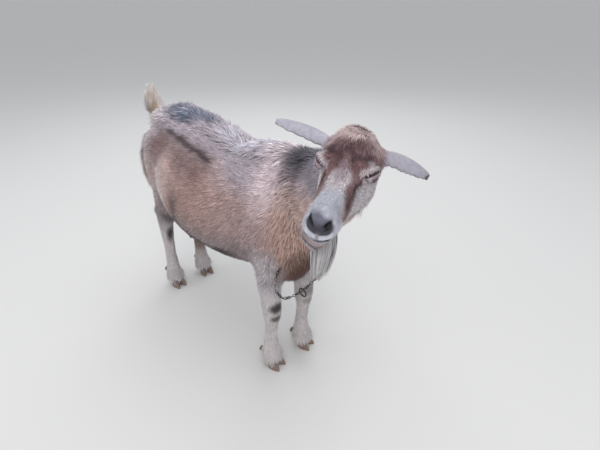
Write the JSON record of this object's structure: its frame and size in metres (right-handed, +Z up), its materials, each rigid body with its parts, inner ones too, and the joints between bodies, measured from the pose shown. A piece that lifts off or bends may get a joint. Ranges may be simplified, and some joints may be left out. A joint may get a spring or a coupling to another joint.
{
  "type": "goat",
  "caption": "Life-size still model of a hornless bearded goat that stands with its head turned to its right and its tail up.",
  "frame": {"origin": "on the floor, below the middle of the goat's box", "axes": "+Z up, the trunk faces -Y and the goat's left side is +X"},
  "size_m": [0.3862, 0.943, 0.6952],
  "materials": {
    "trunk_coat": "long flat goat hair, tan grey on the flanks and silver grey on the back",
    "neck_coat": "goat hair, dark grey behind the head and tan brown below",
    "head_coat": "short goat hair, brown with a white nose and pale cheeks",
    "ear_coat": "very short white hair over thin skin",
    "leg_coat": "short white hair",
    "tail_coat": "long cream hair",
    "beard_hair": "long straight white hair",
    "udder_skin": "bare skin",
    "hoof_horn": "dull horn",
    "eye": "wet, glossy",
    "collar_metal": "dark worn steel"
  },
  "bodies": {
    "root": {"beard": "beard_hair", "collar": "collar_metal", "collar_clasp": "collar_metal", "dewclaw_fore_left_a": "hoof_horn", "dewclaw_fore_left_b": "hoof_horn", "dewclaw_fore_right_a": "hoof_horn", "dewclaw_fore_right_b": "hoof_horn", "dewclaw_hind_left_a": "hoof_horn", "dewclaw_hind_left_b": "hoof_horn", "dewclaw_hind_right_a": "hoof_horn", "dewclaw_hind_right_b": "hoof_horn", "ear_left": "ear_coat", "ear_right": "ear_coat", "eye_left": "eye", "eye_right": "eye", "foreleg_left": "leg_coat", "foreleg_right": "leg_coat", "head": "head_coat", "hindleg_left": "leg_coat", "hindleg_right": "leg_coat", "hoof_fore_left_a": "hoof_horn", "hoof_fore_left_b": "hoof_horn", "hoof_fore_right_a": "hoof_horn", "hoof_fore_right_b": "hoof_horn", "hoof_hind_left_a": "hoof_horn", "hoof_hind_left_b": "hoof_horn", "hoof_hind_right_a": "hoof_horn", "hoof_hind_right_b": "hoof_horn", "neck": "neck_coat", "tail": "tail_coat", "trunk": "trunk_coat", "udder": "udder_skin"}
  },
  "joints": []
}
